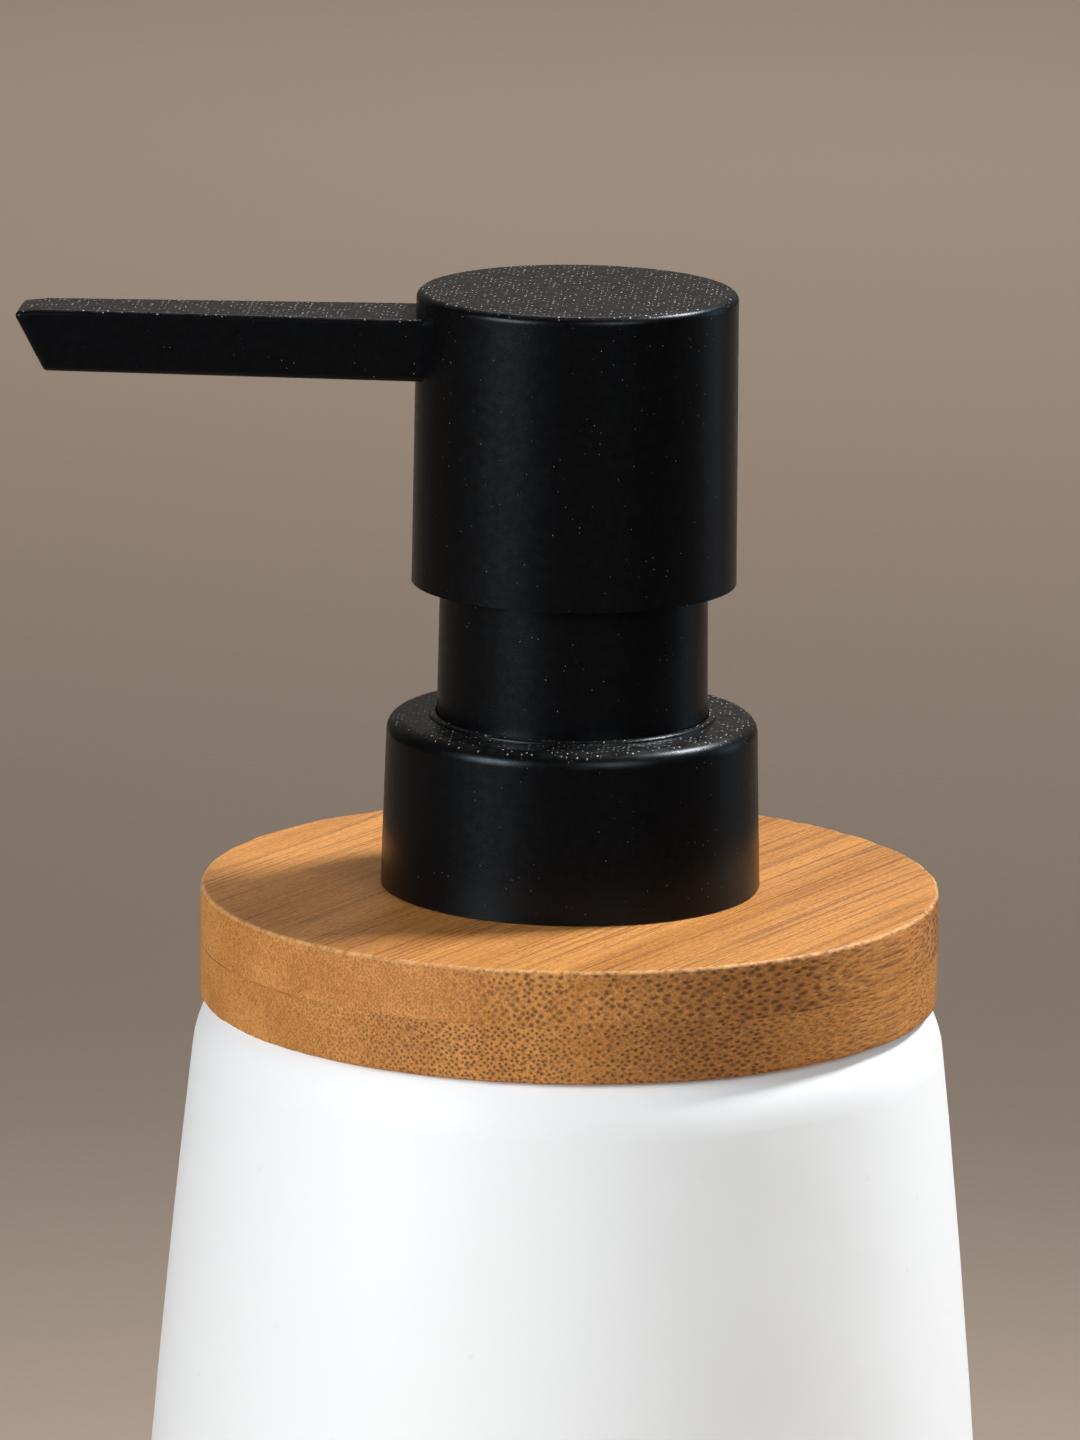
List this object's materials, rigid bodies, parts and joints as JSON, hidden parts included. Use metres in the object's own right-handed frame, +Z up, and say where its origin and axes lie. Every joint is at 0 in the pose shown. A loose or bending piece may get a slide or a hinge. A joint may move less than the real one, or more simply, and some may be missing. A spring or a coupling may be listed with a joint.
{
  "type": "soap pump dispenser",
  "caption": "Tapered white ceramic soap dispenser with a round bamboo lid and a black lotion pump whose flat spout swivels and presses down.",
  "frame": {"origin": "centre of the flat face that the jar stands on", "axes": "+Z up along the jar's and pump's common axis; the spout points along -X at rest"},
  "size_m": [0.0862, 0.0784, 0.175],
  "materials": {
    "glaze": "smooth matte white glaze",
    "foot_pad": "soft foamed pad",
    "bamboo_upper": "satin oiled carbonised bamboo",
    "bamboo_lower": "satin oiled carbonised bamboo",
    "bamboo_plug": "plain carbonised bamboo",
    "silicone": "milky silicone",
    "white_plastic": "moulded polypropylene",
    "foam_washer": "foamed polyethylene",
    "clear_plastic": "natural polypropylene",
    "black_plastic": "moulded black plastic",
    "tube_plastic": "natural polyethylene tube",
    "spring_steel": "drawn stainless wire",
    "black_coat": "fine satin black coating",
    "seal_plastic": "soft polyethylene",
    "stem_plastic": "moulded polypropylene",
    "ball_steel": "polished stainless"
  },
  "bodies": {
    "root": {"ceramic_body": "glaze", "base_pad": "foot_pad"},
    "lid": {"lid_upper_ply": "bamboo_upper", "lid_lower_ply": "bamboo_lower", "lid_plug": "bamboo_plug", "lid_gasket": "silicone", "neck_bush": "white_plastic"},
    "pump_core": {"pump_housing": "clear_plastic", "stem_guide": "black_plastic", "neck_washer": "foam_washer", "ball_cage": "white_plastic", "dip_tube": "tube_plastic", "return_spring": "spring_steel"},
    "collar": {"collar_shell": "black_coat", "collar_insert": "black_plastic", "guide_sleeve": "black_coat"},
    "piston": {"piston_seal": "seal_plastic"},
    "head": {"head_shell": "black_coat", "head_core": "black_plastic", "spout": "black_coat", "spout_liner": "black_plastic", "stem": "stem_plastic", "valve_core": "white_plastic"},
    "inlet_ball": {"inlet_ball": "ball_steel"},
    "outlet_ball": {"outlet_ball": "ball_steel"}
  },
  "joints": [
    {"name": "lid_lift", "type": "slide", "parent": "root", "child": "lid", "axis": [0, 0, 1], "range_m": [0, 0.12]},
    {"name": "pump_rise", "type": "slide", "parent": "lid", "child": "pump_core", "axis": [0, 0, 1], "range_m": [0, 0.00428]},
    {"name": "collar_turn", "type": "hinge", "parent": "pump_core", "child": "collar", "pos_m": [0, 0, 0.131], "axis": [0, 0, 1], "range_deg": [0, 360]},
    {"name": "head_press", "type": "slide", "parent": "pump_core", "child": "piston", "axis": [0, 0, -1], "range_m": [0, 0.0113], "stiffness_N_per_m": 600, "springref_m": -0.008, "deforming": ["return_spring"]},
    {"name": "head_swivel", "type": "hinge", "parent": "piston", "child": "head", "pos_m": [0, 0, 0.16], "axis": [0, 0, 1], "continuous": true},
    {"name": "inlet_ball_lift", "type": "slide", "parent": "pump_core", "child": "inlet_ball", "axis": [0, 0, 1], "range_m": [0, 0.001]},
    {"name": "outlet_ball_lift", "type": "slide", "parent": "head", "child": "outlet_ball", "axis": [0, 0, 1], "range_m": [0, 0.001]}
  ],
  "couplings": [
    {"joint": "pump_rise", "follows": "collar_turn", "m_per_rad": 0.00067375}
  ]
}
